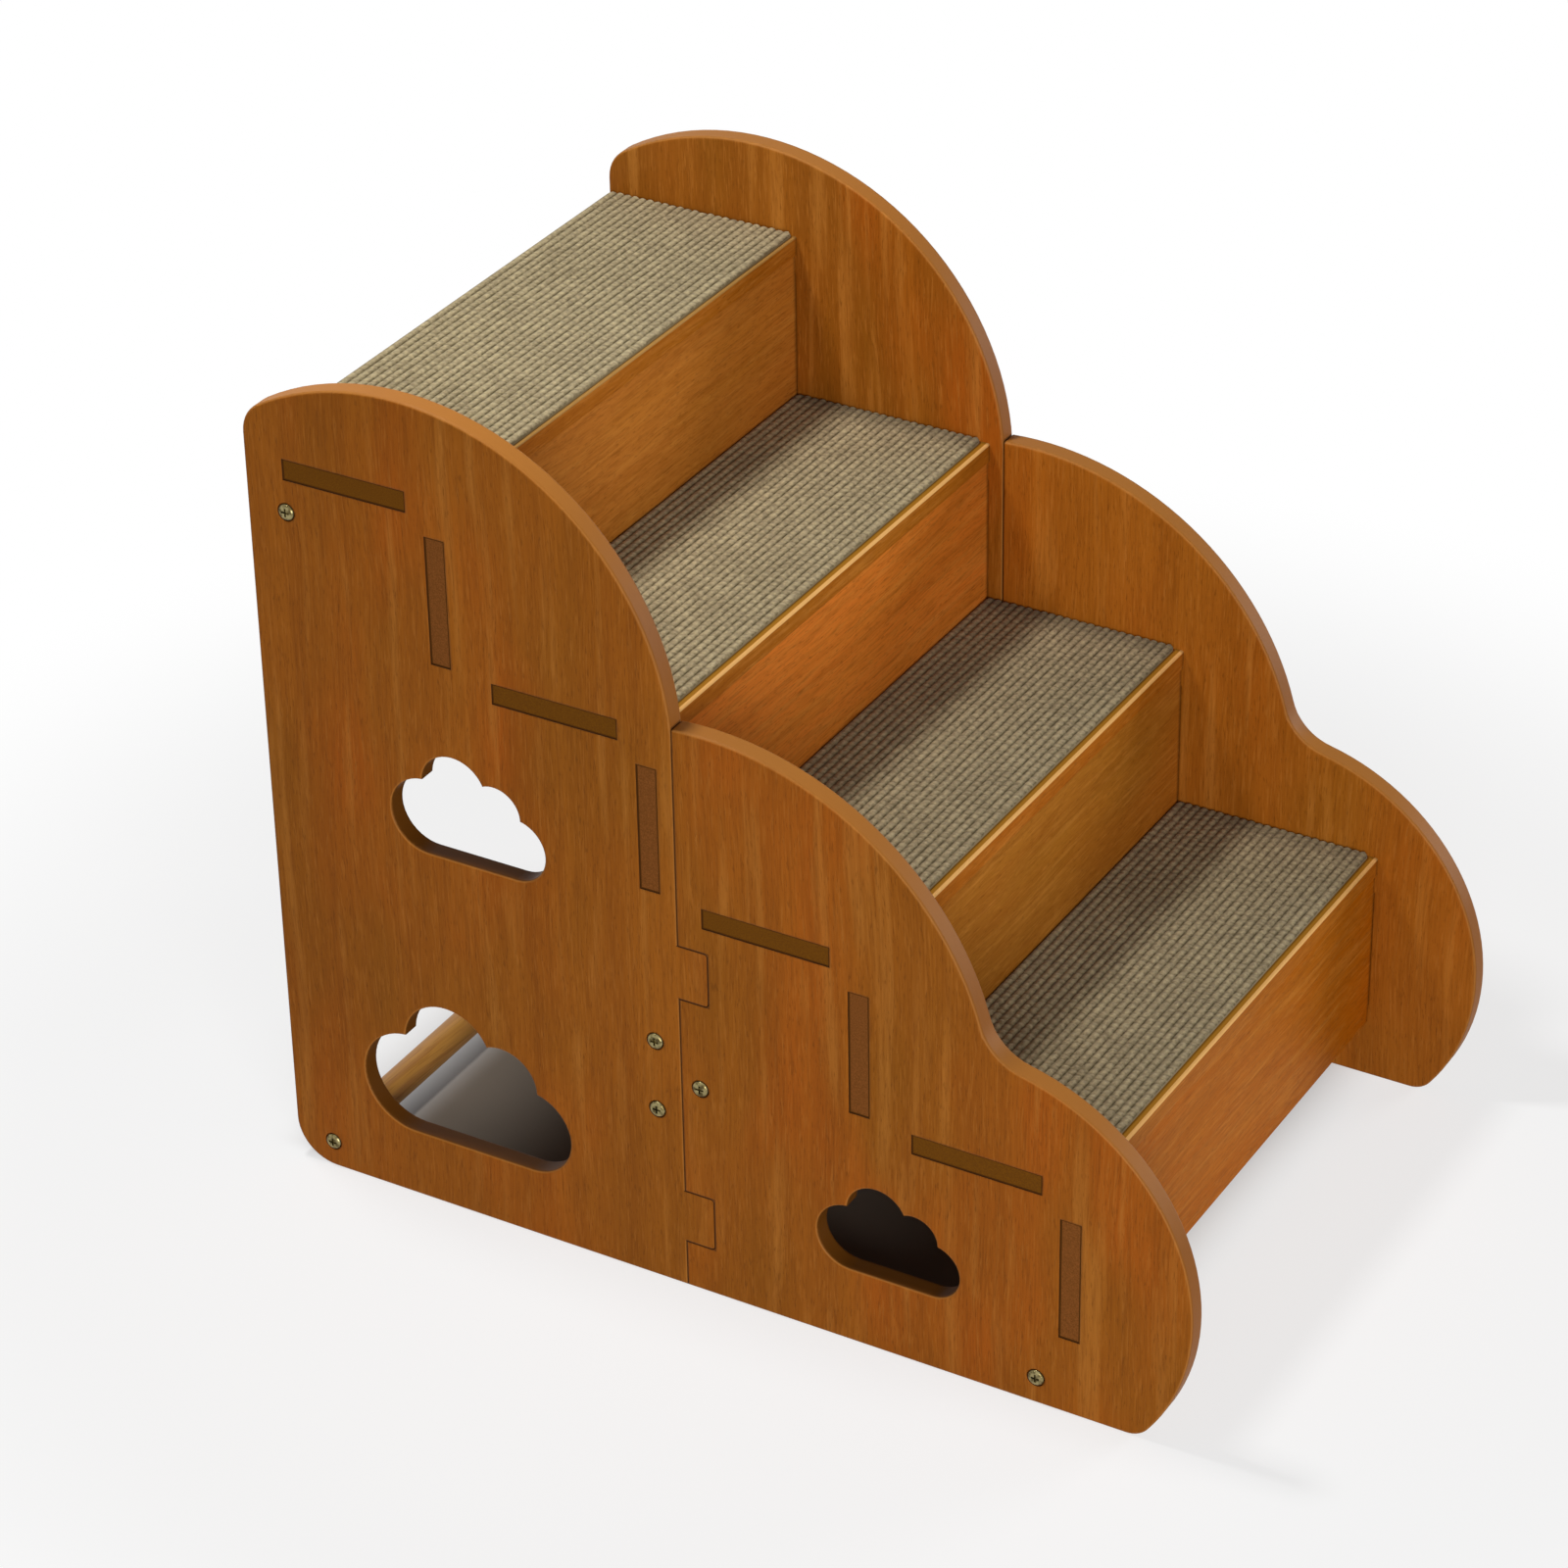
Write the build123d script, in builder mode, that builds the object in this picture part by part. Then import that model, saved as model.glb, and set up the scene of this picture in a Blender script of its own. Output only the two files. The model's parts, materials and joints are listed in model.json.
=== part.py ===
from build123d import *
import os

os.makedirs("parts", exist_ok=True)

# Four-step pet stairs. Millimetres, X towards the low end, Y across, Z up from the floor.
# Two scalloped side walls carry the treads and risers in slots. Each wall is a rear and a
# front board that meet at an upright seam. Round bars and screws pull the walls together.

# Whole stairs
overall_length = 750.7
overall_width = 502.0
overall_height = 671.0

# Steps, counted from the lowest
step_count = 4
first_rise = 197.0

# Boards
wall_board = 16.0
tread_board = 16.0
riser_board = 16.0
nose_overhang = 1.5
tread_back_gap = 1.5
riser_height = 132.0
tread_tenon_width = 102.0
riser_tenon_height = 101.0
tenon_recess = 0.8
slot_gap = 0.3
nose_round = 1.5
arris_round = 1.8

# Crown of the rear board: one arc from the rear shoulder over the peak to the seam
seam_past_nose = 11.5
crown_above_tread = 69.0
crown_peak_from_rear = 126.0
crown_foot_drop = 2.0
shoulder_above_tread = 29.0
shoulder_round = 28.0
rear_foot_round = 34.0

# Scallops of the front board, each placed from the nose of its tread
middle_scallop_round = 230.0
middle_scallop_back = 135.9
middle_scallop_drop = 90.2
low_scallop_round = 170.0
low_scallop_back = 85.3
low_scallop_drop = 88.8
valley_round = 42.0
toe_round = 20.0

# Seam between the two boards of a wall
seam_gap = 0.6
tab_length = 24.0
tab_height = 44.0
tab_corner_round = 3.0
lower_tab_bottom = 40.0
upper_tab_drop = 21.0

# Cloud windows: four lobes over a flat sill, as shares of the window's width:
# how far along, how far up, and the lobe's radius
cloud_lobe_shares = (
    (0.235, 0.235, 0.235),
    (0.420, 0.455, 0.207),
    (0.680, 0.385, 0.165),
    (0.807, 0.193, 0.193),
)
large_cloud_width = 180.0
large_cloud_from_rear = 67.0
large_cloud_sill = 57.5
upper_cloud_width = 130.0
upper_cloud_from_rear = 106.4
upper_cloud_drop = 157.5
front_cloud_width = 115.0
front_cloud_from_seam = 109.7
front_cloud_sill = 63.0

# Mats
mat_thickness = 4.0
mat_nose_margin = 7.0
mat_back_margin = 1.0
top_mat_back_margin = 5.0
mat_side_margin = 2.0
mat_corner_round = 2.5

# Crossbars
bar_diameter = 24.0
bar_rear_gap = 20.8
bar_floor_gap = 10.1
top_bar_gap = 13.6
front_bar_gap = 5.6

# Joining plates
plate_length = 84.0
plate_height = 110.0
plate_board = 12.0
plate_corner_round = 6.0
plate_above_middle = 11.1
plate_screw_spread = 58.7
plate_screw_behind_seam = 21.0
plate_screw_ahead_of_seam = 15.6

# Screws: domed heads with a cross recess, seated in shallow counterbores
head_diameter = 13.0
head_height = 2.8
head_dome_round = 2.4
shank_diameter = 5.0
tip_chamfer = 1.5
cross_length = 6.6
cross_width = 1.5
cross_depth = 1.9
head_gap = 0.7
counterbore_depth = 1.4
wall_hole_gap = 0.3
pilot_gap = 0.1
bar_grip = 34.0
plate_grip = 9.0

# Frame: centred on the floor under the stairs. The whole size sets the rise and the run.
outer_half = overall_width / 2
inner_half = outer_half - wall_board
inner_width = 2 * inner_half
rear_x = -overall_length / 2
run = (overall_length + low_scallop_back - low_scallop_round) / step_count
rise = (overall_height - crown_above_tread - first_rise) / (step_count - 1)
tread_depth = run + nose_overhang - tread_back_gap


def nose_x(step):
    """Front edge of a tread."""
    return rear_x + run * (step_count + 1 - step)


def tread_top(step):
    """Height of a tread's top above the floor."""
    return first_rise + rise * (step - 1)


def tread_under(step):
    """Height of a tread's underside, where its riser ends."""
    return tread_top(step) - tread_board


def riser_back_x(step):
    """Rear face of the riser under a tread's nose."""
    return nose_x(step) - nose_overhang - riser_board


def riser_middle(step):
    """Height of the middle of a riser, and of its tenons."""
    return tread_under(step) - riser_height / 2


steps = range(1, step_count + 1)
rear_steps = [step for step in steps if step > step_count / 2]
front_steps = [step for step in steps if step <= step_count / 2]
low_step, middle_step, upper_step = front_steps[0], front_steps[-1], rear_steps[0]
seam_x = nose_x(upper_step) + seam_past_nose
crown_foot = tread_top(upper_step) - crown_foot_drop
shoulder_height = tread_top(step_count) + shoulder_above_tread
middle_scallop_x = nose_x(middle_step) - middle_scallop_back
middle_scallop_z = tread_top(middle_step) - middle_scallop_drop
low_scallop_x = nose_x(low_step) - low_scallop_back
low_scallop_z = tread_top(low_step) - low_scallop_drop
upper_cloud_sill = tread_top(upper_step) - upper_cloud_drop
upper_tab_bottom = tread_under(middle_step) - upper_tab_drop - tab_height

# Screw and bar places, along X and up
bar_round = bar_diameter / 2
rear_top_bar_place = (
    rear_x + bar_rear_gap + bar_round,
    tread_under(step_count) - top_bar_gap - bar_round,
)
rear_bottom_bar_place = (rear_x + bar_rear_gap + bar_round, bar_floor_gap + bar_round)
front_bottom_bar_place = (
    riser_back_x(low_step) - front_bar_gap - bar_round,
    bar_floor_gap + bar_round,
)
plate_centre_height = (
    lower_tab_bottom + tab_height + upper_tab_bottom
) / 2 + plate_above_middle
rear_plate_screw_places = [
    (seam_x - plate_screw_behind_seam, plate_centre_height - plate_screw_spread / 2),
    (seam_x - plate_screw_behind_seam, plate_centre_height + plate_screw_spread / 2),
]
front_plate_screw_place = (seam_x + plate_screw_ahead_of_seam, plate_centre_height)


def cloud_window(left_x, sill, width):
    """A flat-bottomed cloud of four lobes, drawn in the plane of the wall."""
    places = [(left_x + width * along, sill + width * up) for along, up, _ in cloud_lobe_shares]
    sill_ends = [(places[-1][0], sill), (places[0][0], sill)]
    with BuildSketch() as cloud:
        for place, (_, _, lobe_share) in zip(places, cloud_lobe_shares):
            with Locations(place):
                Circle(width * lobe_share)
        Polygon(*places, *sill_ends, align=None)
    return cloud.sketch


def tab(bottom, clearance):
    """One tab of the rear board across the seam, or the notch round it."""
    width = tab_length + 2 * tab_corner_round + 2 * clearance
    with BuildSketch() as outline:
        with Locations((seam_x + tab_length / 2 - tab_corner_round, bottom + tab_height / 2)):
            RectangleRounded(width, tab_height + 2 * clearance, tab_corner_round + clearance)
    return outline.sketch


def tenon_slots(plane, served_steps):
    """The slots of one board for its treads' and risers' tenons."""
    with BuildSketch(plane) as slots:
        for step in served_steps:
            with Locations((nose_x(step) - tread_depth / 2, tread_top(step) - tread_board / 2)):
                Rectangle(tread_tenon_width + 2 * slot_gap, tread_board + 2 * slot_gap)
            with Locations((riser_back_x(step) + riser_board / 2, riser_middle(step))):
                Rectangle(riser_board + 2 * slot_gap, riser_tenon_height + 2 * slot_gap)
    return slots.sketch


def face_planes(places, face_y):
    """Planes on a near-side face, looking out towards -Y."""
    return [Plane(origin=(x, -face_y, z), x_dir=(1, 0, 0), z_dir=(0, -1, 0)) for x, z in places]


def rounded_rim(board):
    """The edges of a board's two faces, but for those at the seam."""
    rim = board.faces().filter_by(Axis.Y).edges()
    seam_reach = arris_round + seam_gap
    return rim.filter_by(lambda edge: abs(edge.center().X - seam_x) > seam_reach)


# Rear boards: the near one, and the far one as its mirror image
wall_plane = Plane.XZ.offset(inner_half)
with BuildPart() as near_rear_side:
    with BuildSketch(wall_plane):
        with BuildLine():
            Polyline(
                (rear_x, shoulder_height),
                (rear_x, 0),
                (seam_x, 0),
                (seam_x, crown_foot),
            )
            ThreePointArc(
                (seam_x, crown_foot),
                (rear_x + crown_peak_from_rear, overall_height),
                (rear_x, shoulder_height),
            )
        make_face()
        rear_corners = vertices().group_by(Axis.X)[0].sort_by(Axis.Y)
        fillet(rear_corners[0], rear_foot_round)
        rear_corners = vertices().sort_by_distance((rear_x, shoulder_height))
        fillet(rear_corners[0], shoulder_round)
        add(
            cloud_window(rear_x + large_cloud_from_rear, large_cloud_sill, large_cloud_width),
            mode=Mode.SUBTRACT,
        )
        add(
            cloud_window(rear_x + upper_cloud_from_rear, upper_cloud_sill, upper_cloud_width),
            mode=Mode.SUBTRACT,
        )
    extrude(amount=wall_board)
    fillet(rounded_rim(near_rear_side), arris_round)
    with BuildSketch(wall_plane):
        add(tab(lower_tab_bottom, 0))
        add(tab(upper_tab_bottom, 0))
    extrude(amount=wall_board)
    extrude(tenon_slots(wall_plane, rear_steps), amount=wall_board, mode=Mode.SUBTRACT)
    rear_screw_places = [rear_top_bar_place, rear_bottom_bar_place] + rear_plate_screw_places
    with Locations(*face_planes(rear_screw_places, outer_half)):
        CounterBoreHole(
            shank_diameter / 2 + wall_hole_gap,
            head_diameter / 2 + head_gap,
            counterbore_depth,
            wall_board,
        )
near_rear_side.part.label = "near_rear_side"
export_step(near_rear_side.part, "parts/near_rear_side.step")

with BuildPart() as far_rear_side:
    mirror(near_rear_side.part, about=Plane.XZ)
far_rear_side.part.label = "far_rear_side"
export_step(far_rear_side.part, "parts/far_rear_side.step")

# Front boards: two scallops ahead of the seam, notched for the rear board's tabs
front_edge_x = seam_x + seam_gap
with BuildPart() as near_front_side:
    with BuildSketch(wall_plane):
        with Locations(Location((middle_scallop_x, middle_scallop_z, 0), (0, 0, 180))):
            Circle(middle_scallop_round)
        with Locations(Location((low_scallop_x, low_scallop_z, 0), (0, 0, 180))):
            Circle(low_scallop_round)
        with Locations((front_edge_x, 0)):
            Rectangle(low_scallop_x - front_edge_x, middle_scallop_z, align=Align.MIN)
            Rectangle(overall_length, overall_height, align=Align.MIN, mode=Mode.INTERSECT)
        fillet(vertices().sort_by(Axis.X)[-2], valley_round)
        fillet(vertices().sort_by(Axis.X).group_by(Axis.Y)[0][-1], toe_round)
        add(
            cloud_window(seam_x + front_cloud_from_seam, front_cloud_sill, front_cloud_width),
            mode=Mode.SUBTRACT,
        )
    extrude(amount=wall_board)
    fillet(rounded_rim(near_front_side), arris_round)
    with BuildSketch(wall_plane):
        add(tab(lower_tab_bottom, seam_gap))
        add(tab(upper_tab_bottom, seam_gap))
    extrude(amount=wall_board, mode=Mode.SUBTRACT)
    extrude(tenon_slots(wall_plane, front_steps), amount=wall_board, mode=Mode.SUBTRACT)
    front_screw_places = [front_bottom_bar_place, front_plate_screw_place]
    with Locations(*face_planes(front_screw_places, outer_half)):
        CounterBoreHole(
            shank_diameter / 2 + wall_hole_gap,
            head_diameter / 2 + head_gap,
            counterbore_depth,
            wall_board,
        )
near_front_side.part.label = "near_front_side"
export_step(near_front_side.part, "parts/near_front_side.step")

with BuildPart() as far_front_side:
    mirror(near_front_side.part, about=Plane.XZ)
far_front_side.part.label = "far_front_side"
export_step(far_front_side.part, "parts/far_front_side.step")

# Treads: flat boards between the walls, with one tenon through each wall
tenon_span = 2 * (outer_half - tenon_recess)
for step in steps:
    with BuildPart() as tread:
        with BuildSketch(Plane.XY.offset(tread_under(step))):
            with Locations((nose_x(step) - tread_depth / 2, 0)):
                Rectangle(tread_depth, inner_width)
                Rectangle(tread_tenon_width, tenon_span)
        extrude(amount=tread_board)
        fillet(edges().filter_by(Axis.Y).group_by(Axis.X)[-1], nose_round)
    tread.part.label = f"tread_{step}"
    export_step(tread.part, f"parts/tread_{step}.step")

# Risers: upright boards under the noses, with one tenon through each wall
for step in steps:
    with BuildPart() as riser:
        with BuildSketch(Plane.YZ.offset(riser_back_x(step))):
            with Locations((0, riser_middle(step))):
                Rectangle(inner_width, riser_height)
                Rectangle(tenon_span, riser_tenon_height)
        extrude(amount=riser_board)
    riser.part.label = f"riser_{step}"
    export_step(riser.part, f"parts/riser_{step}.step")

# Mats: laid flat on the treads, just short of the nose and the riser behind
for step in steps:
    back_x = nose_x(step) - tread_depth
    if step == step_count:
        mat_back_x = back_x + top_mat_back_margin
    else:
        mat_back_x = back_x - tread_back_gap + mat_back_margin
    mat_depth = nose_x(step) - mat_nose_margin - mat_back_x
    with BuildPart() as mat:
        with BuildSketch(Plane.XY.offset(tread_top(step))):
            with Locations((mat_back_x + mat_depth / 2, 0)):
                RectangleRounded(mat_depth, inner_width - 2 * mat_side_margin, mat_corner_round)
        extrude(amount=mat_thickness)
    mat.part.label = f"mat_{step}"
    export_step(mat.part, f"parts/mat_{step}.step")


def near_pilot_planes(places):
    """Planes on the near ends of the bars, or the near faces of the plates."""
    return face_planes(places, inner_half)


# Crossbars: round bars between the walls, drilled at both ends for their screws
bar_places = {
    "rear_top_bar": rear_top_bar_place,
    "rear_bottom_bar": rear_bottom_bar_place,
    "front_bottom_bar": front_bottom_bar_place,
}
pilot_round = shank_diameter / 2 + pilot_gap
for bar_name, bar_place in bar_places.items():
    with BuildPart() as bar:
        with BuildSketch(Plane.XZ):
            with Locations(bar_place):
                Circle(bar_round)
        extrude(amount=inner_half)
        with Locations(*near_pilot_planes([bar_place])):
            Hole(pilot_round, bar_grip + pilot_gap)
        mirror(about=Plane.XZ)
    bar.part.label = bar_name
    export_step(bar.part, f"parts/{bar_name}.step")

# Joining plates: across the seam on the inner face of each wall
plate_screw_places = rear_plate_screw_places + [front_plate_screw_place]
with BuildPart() as near_joining_plate:
    with BuildSketch(Plane.XZ.offset(inner_half - plate_board)):
        with Locations((seam_x, plate_centre_height)):
            RectangleRounded(plate_length, plate_height, plate_corner_round)
    extrude(amount=plate_board)
    with Locations(*near_pilot_planes(plate_screw_places)):
        Hole(pilot_round, plate_grip + pilot_gap)
near_joining_plate.part.label = "near_joining_plate"
export_step(near_joining_plate.part, "parts/near_joining_plate.step")

with BuildPart() as far_joining_plate:
    mirror(near_joining_plate.part, about=Plane.XZ)
far_joining_plate.part.label = "far_joining_plate"
export_step(far_joining_plate.part, "parts/far_joining_plate.step")


def near_screw(place, grip):
    """A screw through the near wall: its head sits on the counterbore's floor."""
    seat = face_planes([place], outer_half - counterbore_depth)[0]
    shank_length = wall_board - counterbore_depth + grip
    with BuildPart() as screw:
        with BuildSketch(seat):
            Circle(head_diameter / 2)
        extrude(amount=head_height)
        fillet(edges().sort_by(Axis.Y)[0], head_dome_round)
        with BuildSketch(seat):
            Circle(shank_diameter / 2)
        extrude(amount=-shank_length)
        chamfer(edges().sort_by(Axis.Y)[-1], tip_chamfer)
        with BuildSketch(seat.offset(head_height)):
            Rectangle(cross_length, cross_width)
            Rectangle(cross_width, cross_length)
        extrude(amount=-cross_depth, mode=Mode.SUBTRACT)
    return screw.part


# Bar screws: one at each end of each bar
for bar_name, bar_place in bar_places.items():
    with BuildPart() as bar_screws:
        add(near_screw(bar_place, bar_grip))
        mirror(about=Plane.XZ)
    bar_screws.part.label = f"{bar_name}_screws"
    export_step(bar_screws.part, f"parts/{bar_name}_screws.step")

# Plate screws: three through each wall, two behind the seam and one ahead of it
with BuildPart() as near_plate_screws:
    for plate_screw_place in plate_screw_places:
        add(near_screw(plate_screw_place, plate_grip))
near_plate_screws.part.label = "near_plate_screws"
export_step(near_plate_screws.part, "parts/near_plate_screws.step")

with BuildPart() as far_plate_screws:
    mirror(near_plate_screws.part, about=Plane.XZ)
far_plate_screws.part.label = "far_plate_screws"
export_step(far_plate_screws.part, "parts/far_plate_screws.step")
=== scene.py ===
# Pet stairs: four treads with ribbed mats between two scalloped side walls.
# Everything is in metres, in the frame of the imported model: X towards the low end, Y across, Z up.
import json
import math
import random

import bpy
from mathutils import Matrix, Vector


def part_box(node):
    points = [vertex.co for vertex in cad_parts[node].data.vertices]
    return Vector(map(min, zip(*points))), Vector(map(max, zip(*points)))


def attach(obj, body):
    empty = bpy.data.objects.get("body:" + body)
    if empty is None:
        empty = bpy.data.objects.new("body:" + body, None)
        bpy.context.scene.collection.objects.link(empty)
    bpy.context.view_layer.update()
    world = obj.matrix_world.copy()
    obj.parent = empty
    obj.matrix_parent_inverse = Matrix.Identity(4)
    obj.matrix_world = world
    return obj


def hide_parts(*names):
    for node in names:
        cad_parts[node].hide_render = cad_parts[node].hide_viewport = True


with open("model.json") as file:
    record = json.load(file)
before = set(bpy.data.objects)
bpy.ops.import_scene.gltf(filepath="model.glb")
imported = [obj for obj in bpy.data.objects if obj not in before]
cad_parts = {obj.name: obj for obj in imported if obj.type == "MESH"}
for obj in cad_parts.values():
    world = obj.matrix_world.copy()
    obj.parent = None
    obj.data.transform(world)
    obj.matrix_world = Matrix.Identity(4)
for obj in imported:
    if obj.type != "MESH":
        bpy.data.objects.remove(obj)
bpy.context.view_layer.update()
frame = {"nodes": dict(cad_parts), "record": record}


# Side walls. Each wall is a rear and a front board of 16 mm fibreboard under a wood-grain foil,
# routed to the scalloped outline, with cloud windows and slots cut right through. The two boards
# interlock with two tabs, and the grain runs upwards on all four.
mm = 0.001
wall_foils = {
    # the board's tone, and where on the printed sheet its foil was cut
    "near_rear_side": ("#9C5914", (2.2, 0.9, 4.1)),
    "near_front_side": ("#9C5914", (1.71, 2.3, 6.02)),
    "far_rear_side": ("#8C5012", (0.35, 3.0, 0.34)),
    "far_front_side": ("#9C5915", (0.70, 0.4, 6.91)),
}
# Real pores are a few tenths of a millimetre wide. The finest rows are drawn 1 to 1.6 mm wide to show.
wall_grain = (
    # width and length of a streak in mm, where it starts and is full, its colour, its share
    (110, 250, 0.46, 0.66, "#B4540E", 0.42),
    (90, 260, 0.48, 0.68, "#7E4E0C", 0.45),
    (38, 520, 0.46, 0.68, "#B0691C", 0.35),
    (24, 420, 0.50, 0.70, "#84450A", 0.32),
    (13.0, 240, 0.55, 0.69, "#C07E34", 0.38),
    (3.0, 110, 0.50, 0.68, "#7C4208", 0.26),
    (1.6, 34, 0.48, 0.66, "#763E08", 0.30),
    (1.5, 22, 0.54, 0.70, "#BC7830", 0.30),
    (1.0, 8, 0.58, 0.70, "#5C3004", 0.40),
)
# The rim tones are painted light: the level one lighter, the steep one darker.
painted_light_level_rim_tone = "#A86C2C"
painted_shade_steep_rim_tone = "#804A10"
# The arris tone is a painted highlight.
painted_highlight_arris_tone = "#B87C3C"
window_cut_tone = "#6A3E10"
# The slot cut tone is raw board darkened with painted shade in the slots, and it also draws the seam line.
slot_cut_and_shade_tone = "#4C2A0E"
painted_highlight_arris_share = 0.55
edge_band_share = 0.8
# The seam line is grime and painted shade in the joint.
seam_grime_and_shade_share = 0.6
arris_turn = (0.995, 0.80)
edge_turn = (0.75, 0.25)
level_turn = (0.35, 0.95)
seam_cut_width = 60 * mm
seam_cut_height = 455 * mm
cut_margin = 2 * mm
seam_gap = 0.6 * mm
seam_shade = 0.9 * mm
tab_length = 24 * mm
tab_bottoms = (40 * mm, 251 * mm)
tab_height = 44 * mm
rubbed_round = 2.5 * mm
tenon_width = 102 * mm
tenon_height = 101 * mm
window_reach = 80 * mm
grain_wander = 15 * mm
grain_wander_length = 240 * mm
noise_middle = 0.5
grain_relief = 0.15 * mm
grain_relief_strength = 0.12


def to_linear(srgb_hex):
    """A shader's colour from the sRGB hex value that a paint chart would give."""
    parts = [int(srgb_hex[i:i + 2], 16) / 255 for i in (1, 3, 5)]
    return [p / 12.92 if p <= 0.04045 else ((p + 0.055) / 1.055) ** 2.4 for p in parts] + [1.0]


def add(tree, kind, sockets=None, **settings):
    """One node, with its settings, and each input as a value or as another node's output."""
    node = tree.nodes.new("ShaderNode" + kind)
    for name, value in settings.items():
        setattr(node, name, value)
    for name, value in (sockets or {}).items():
        if isinstance(value, bpy.types.NodeSocket):
            tree.links.new(value, node.inputs[name])
        else:
            node.inputs[name].default_value = value
    return node


def bare_material(name):
    """A material with its shader and nothing else yet."""
    material = bpy.data.materials.new(name)
    material.use_nodes = True
    tree = material.node_tree
    return material, tree, tree.nodes["Principled BSDF"]


def wood_grain(tree, tone, streaks, grain_axis, patch):
    """Colour and relief of a printed grain: bands, streaks, fibres and pores drawn out along it."""
    place = add(tree, "TexCoord").outputs["Object"]
    shifted = add(tree, "VectorMath", {0: place, 1: patch}, operation="ADD").outputs[0]
    wander = add(tree, "TexNoise", {"Vector": shifted, "Scale": 1 / grain_wander_length, "Detail": 1.0})
    aside = add(tree, "VectorMath", {0: wander.outputs["Color"], 1: (noise_middle,) * 3},
                operation="SUBTRACT")
    bent = add(tree, "VectorMath", {0: aside.outputs[0], 1: (grain_wander,) * 3, 2: shifted},
               operation="MULTIPLY_ADD").outputs[0]
    colour = to_linear(tone)
    for width, length, start, full, streak_tone, share in streaks:
        cells = [1 / (width * mm)] * 3
        cells["XYZ".index(grain_axis)] = 1 / (length * mm)
        drawn_out = add(tree, "VectorMath", {0: bent, 1: cells}, operation="MULTIPLY").outputs[0]
        streak = add(tree, "TexNoise", {"Vector": drawn_out, "Scale": 1.0, "Detail": 2.0}).outputs[0]
        amount = add(tree, "MapRange", {"Value": streak, "From Min": start, "From Max": full,
                                        "To Min": 0.0, "To Max": share}).outputs[0]
        colour = add(tree, "MixRGB", {"Fac": amount, "Color1": colour,
                                      "Color2": to_linear(streak_tone)}).outputs[0]
    return colour, streak


def cut_share(tree, cuts):
    """1 inside any of the cuts, each an upright rectangle (centre x and z, half sizes), and 0 outside."""
    place = add(tree, "TexCoord").outputs["Object"]
    inside = 0.0
    for x, z, half_x, half_z in cuts:
        away = add(tree, "VectorMath", {0: place, 1: (x, 0, z)}, operation="SUBTRACT").outputs[0]
        shares = add(tree, "VectorMath", {0: away, 1: (1 / half_x, 0, 1 / half_z)},
                     operation="MULTIPLY").outputs[0]
        shares = add(tree, "VectorMath", {0: shares}, operation="ABSOLUTE").outputs[0]
        across = add(tree, "SeparateXYZ", {0: shares}).outputs
        farthest = add(tree, "Math", {0: across["X"], 1: across["Z"]}, operation="MAXIMUM")
        here = add(tree, "Math", {0: farthest.outputs[0], 1: 1.0}, operation="LESS_THAN").outputs[0]
        inside = add(tree, "Math", {0: inside, 1: here}, operation="MAXIMUM").outputs[0]
    return inside


def around(low, high, width=None, height=None, margin=cut_margin):
    """The upright rectangle round a box, or round a narrower or lower cut at its middle."""
    half_x = (width or high.x - low.x) / 2 + margin
    half_z = (height or high.z - low.z) / 2 + margin
    return (low.x + high.x) / 2, (low.z + high.z) / 2, half_x, half_z


windows = {}
for opening in frame["record"]["physics"]["openings"]:
    if opening["name"].startswith("near_") and "_window_" in opening["name"]:
        windows.setdefault(opening["name"].rsplit("_", 1)[0], []).extend(opening["box_m"])
window_cuts = []
for corners in windows.values():
    low = Vector([min(c[i] for c in corners) for i in range(3)])
    high = Vector([max(c[i] for c in corners) for i in range(3)])
    window_cuts.append(around(low, high, high.x - low.x + window_reach, high.z - low.z + window_reach))
slot_cuts = []
for step in (1, 2, 3, 4):
    slot_cuts.append(around(*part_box(f"tread_{step}"), width=tenon_width))
    slot_cuts.append(around(*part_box(f"riser_{step}"), height=tenon_height))
for screws in ("rear_top_bar_screws", "rear_bottom_bar_screws", "front_bottom_bar_screws",
               "near_plate_screws"):
    slot_cuts.append(around(*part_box(screws)))
seam_low, seam_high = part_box("near_front_side")[0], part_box("near_rear_side")[1]
seam_middle_x = (seam_low.x + seam_high.x) / 2
slot_cuts.append((seam_middle_x, seam_cut_height / 2, seam_cut_width / 2, seam_cut_height / 2))


def seam_share(tree):
    """1 on the fine line where the rear and front boards meet, tabs included, and 0 elsewhere."""
    place = add(tree, "SeparateXYZ", {0: add(tree, "TexCoord").outputs["Object"]}).outputs
    seam_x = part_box("near_front_side")[0].x - seam_gap / 2
    past = add(tree, "Math", {0: place["X"], 1: seam_x}, operation="SUBTRACT").outputs[0]
    for bottom in tab_bottoms:
        beyond = []
        for along, middle, half in (("X", seam_x, tab_length + seam_gap / 2),
                                    ("Z", bottom + tab_height / 2, (tab_height + seam_gap) / 2)):
            away = add(tree, "Math", {0: place[along], 1: middle}, operation="SUBTRACT").outputs[0]
            away = add(tree, "Math", {0: away}, operation="ABSOLUTE").outputs[0]
            beyond.append(add(tree, "Math", {0: away, 1: half}, operation="SUBTRACT").outputs[0])
        outside = add(tree, "Math", {0: beyond[0], 1: beyond[1]}, operation="MAXIMUM").outputs[0]
        past = add(tree, "Math", {0: past, 1: outside}, operation="MINIMUM").outputs[0]
    return add(tree, "Math", {0: past, 1: 0.0, 2: seam_shade}, operation="COMPARE").outputs[0]


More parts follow.
